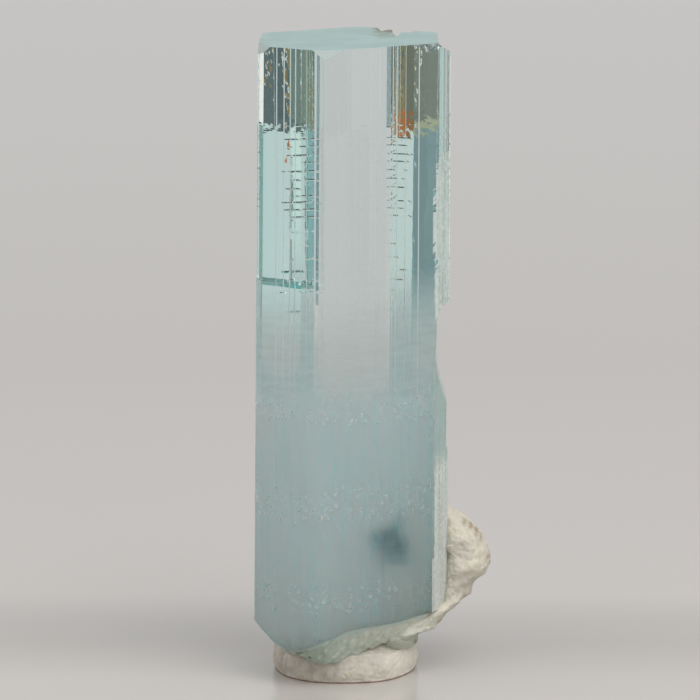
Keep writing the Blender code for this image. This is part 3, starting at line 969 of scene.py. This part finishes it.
def putty_side_ring(turns, share):
    """The putty's side at a share of its height. The creases fade out towards its rims."""
    fade = smooth(0.0, 0.12, share) * (1 - 0.7 * smooth(0.85, 1.0, share))
    ring = []
    for turn in turns:
        way = Vector((math.cos(turn), math.sin(turn)))
        edge = way * putty_rim(turn, share)
        height = share * putty_top(*edge)
        edge = edge + way * crumple(Vector((*edge, height))) * fade
        ring.append(Vector((*edge, height)))
    return ring


def putty_top_ring(turns, share):
    """The putty's upper side at a share of its radius."""
    ring = []
    for turn in turns:
        spot = Vector((math.cos(turn), math.sin(turn))) * putty_rim(turn, 1.0) * share
        ring.append(Vector((*spot, putty_top(*spot) + 0.7 * crumple(Vector((*spot, 0.0))))))
    return ring


def putty_material():
    look = Look("putty")
    patches = look.grain(1.8 * MM, (1, 1, 0.8), 3.0)
    smears = look.grain(0.7 * MM, (1, 1, 1.8), 4.0, (4, 8, 1))
    colour = look.blend(look.spread(patches, 0.35, 0.65), (0.44, 0.40, 0.345), (0.62, 0.58, 0.49))
    colour = look.blend(look.spread(smears, 0.56, 0.70, 0.0, 0.7), colour, (0.66, 0.67, 0.69))
    colour = look.blend(look.spread(smears, 0.42, 0.30, 0.0, 0.5), colour, (0.34, 0.30, 0.25))
    # Painted light: the putty's right side is paler, as if lit from the right
    painted_light_right = look.spread(look.x, 0.3 * MM, 4.5 * MM, 0.0, 0.75)
    colour = look.blend(painted_light_right, colour, (0.80, 0.76, 0.67))
    # Painted shadow: a thin dark reddish line where the putty meets the floor
    painted_contact_shadow = look.spread(look.z, 0.16 * MM, 0.06 * MM, 0.0, 0.85)
    colour = look.blend(painted_contact_shadow, colour, (0.17, 0.06, 0.03))
    return look.surface(colour, roughness=0.7)


def make_putty():
    turns = [2 * math.pi * step / PUTTY_COLUMNS for step in range(PUTTY_COLUMNS)]
    rings = [[Vector((0, 0, 0))]]
    for step in range(PUTTY_SIDE_RINGS + 1):
        rings.append(putty_side_ring(turns, step / PUTTY_SIDE_RINGS))
    for step in range(1, PUTTY_TOP_RINGS):
        rings.append(putty_top_ring(turns, 1 - step / PUTTY_TOP_RINGS))
    rings.append([Vector((0, 0, putty_top(0, 0)))])
    putty = add_shape("putty_pat", loft(rings))
    putty.data.materials.append(putty_material())
    putty.data.shade_smooth()
    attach(putty, "root")
    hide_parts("putty")


def floor_material():
    look = Look("floor")
    node = look.nodes.new("ShaderNodeValToRGB")
    # Tones by depth, with a band of painted shade just behind the crystal
    look.send(look.spread(look.y, *FLOOR_RAMP), node.inputs[0])
    elements = node.color_ramp.elements
    while len(elements) < len(FLOOR_TONES_AND_SHADE):
        elements.new(0.5)
    for element, (at, colour) in zip(elements, FLOOR_TONES_AND_SHADE):
        element.position = at
        element.color = (*colour, 1.0)
    return look.surface(node.outputs["Color"], roughness=0.15)


def make_floor():
    shape = bmesh.new()
    bmesh.ops.create_grid(shape, x_segments=1, y_segments=1, size=FLOOR_HALF)
    floor = add_shape("floor", shape)
    floor.data.materials.append(floor_material())


def flat_material(flat):
    """A mottled glow that starts at the flat's near edge with its margin, and is clear before that."""
    name, _, _, near, tone, margin, width, inner = flat
    look = Look(name, lit=False)
    distance = look.length(look.place)
    ragged = look.grain(2 * MM, detail=3.0)
    out = look.ragged(distance, ragged, FLAT_RAGGED)
    mottle = look.grain(FLAT_MOTTLE, detail=3.0, offset=(3, 5, 1))
    paler = tuple(min(1.0, part * 1.6 + 0.01) for part in tone)
    darker = tuple(part * 0.55 for part in tone)
    colour = look.blend(look.spread(mottle, 0.50, 0.72), tone, paler)
    colour = look.blend(look.spread(mottle, 0.50, 0.32), colour, darker)
    edge = look.spread(out, (near + width) * MM, (near + width - MARGIN_FADE) * MM)
    colour = look.blend(edge, colour, margin)
    cover = look.spread(out, (near - FLAT_FADE) * MM, (near + FLAT_FADE) * MM)
    if inner:
        inner_tone, reach = inner
        colour = look.blend(cover, inner_tone, colour)
        faint = look.spread(out, (reach - INNER_FADE) * MM, (reach + INNER_FADE) * MM)
        cover = look.number("MAXIMUM", cover, faint)
    mix = look.nodes.new("ShaderNodeMixShader")
    look.send(cover, mix.inputs[0])
    look.send(look.nodes.new("ShaderNodeBsdfTransparent").outputs[0], mix.inputs[1])
    look.send(look.glow(colour), mix.inputs[2])
    look.send_out(mix.outputs[0], "Surface")
    return look.material


def screen_material():
    look = Look("screen", lit=False, placed=False)
    look.send_out(look.glow(SCREEN_TONE), "Surface")
    return look.material


def add_arc(name, first, last, edges, material):
    """A strip round the crystal between two edges, each a distance and a height."""
    shape = bmesh.new()
    turns = [math.radians(first + (last - first) * step / ARC_STEPS) for step in range(ARC_STEPS + 1)]
    rows = []
    for reach, up in edges:
        rows.append([shape.verts.new((math.cos(turn) * reach, math.sin(turn) * reach, up)) for turn in turns])
    for step in range(ARC_STEPS):
        shape.faces.new((rows[0][step], rows[1][step], rows[1][step + 1], rows[0][step + 1]))
    arc = add_shape(name, shape)
    arc.data.materials.append(material)
    arc.visible_camera = False
    arc.visible_shadow = False
    arc.visible_diffuse = False
    arc.visible_glossy = False


def make_flats():
    for flat in FLATS:
        name, first, last, near, _, _, _, inner = flat
        start = (inner[1] - INNER_FADE if inner else near - MARGIN_FADE) * MM
        add_arc(name, first, last, ((start, FLAT_LIFT), (FLAT_END, FLAT_LIFT)), flat_material(flat))
    for index, (first, last) in enumerate(SCREENS):
        edges = ((SCREEN_REACH, 0.0), (SCREEN_REACH, SCREEN_HEIGHT))
        add_arc(f"screen_{index}", first, last, edges, screen_material())


def aim(obj, way):
    """Puts a camera or lamp in the scene, pointing this way."""
    bpy.context.scene.collection.objects.link(obj)
    obj.rotation_euler = way.to_track_quat("-Z", "Y").to_euler()


def make_lamp(name, place, width, power):
    data = bpy.data.lights.new(name, "AREA")
    data.shape = "RECTANGLE"
    data.size = width
    data.size_y = width
    data.energy = power
    lamp = bpy.data.objects.new(name, data)
    lamp.location = place
    aim(lamp, LAMP_AIM - Vector(place))


def make_world():
    world = bpy.data.worlds.new("studio")
    world.use_nodes = True
    back = world.node_tree.nodes["Background"]
    back.inputs["Color"].default_value = (*WORLD_TONE, 1.0)
    back.inputs["Strength"].default_value = WORLD_STRENGTH
    bpy.context.scene.world = world


def make_camera():
    data = bpy.data.cameras.new("camera")
    data.sensor_width = SENSOR
    data.lens = CAMERA_PIXELS * SENSOR / FRAME_PIXELS
    data.clip_start = 0.01
    data.clip_end = 20
    camera = bpy.data.objects.new("camera", data)
    camera.location = CAMERA_PLACE
    aim(camera, Vector((0, math.cos(CAMERA_PITCH), -math.sin(CAMERA_PITCH))))
    bpy.context.scene.camera = camera


def main():
    make_camera()
    make_crystal()
    make_cloud()
    make_feldspar()
    make_crust()
    make_putty()
    make_floor()
    make_flats()
    make_world()
    for lamp in LAMPS:
        make_lamp(*lamp)
    scene = bpy.context.scene
    scene.view_settings.view_transform = "Standard"
    scene.cycles.max_bounces = MOST_BOUNCES
    scene.cycles.transmission_bounces = CLEAR_BOUNCES
    scene.cycles.glossy_bounces = CLEAR_BOUNCES
    scene.cycles.transparent_max_bounces = CLEAR_BOUNCES
    scene.cycles.volume_bounces = VOLUME_BOUNCES


main()
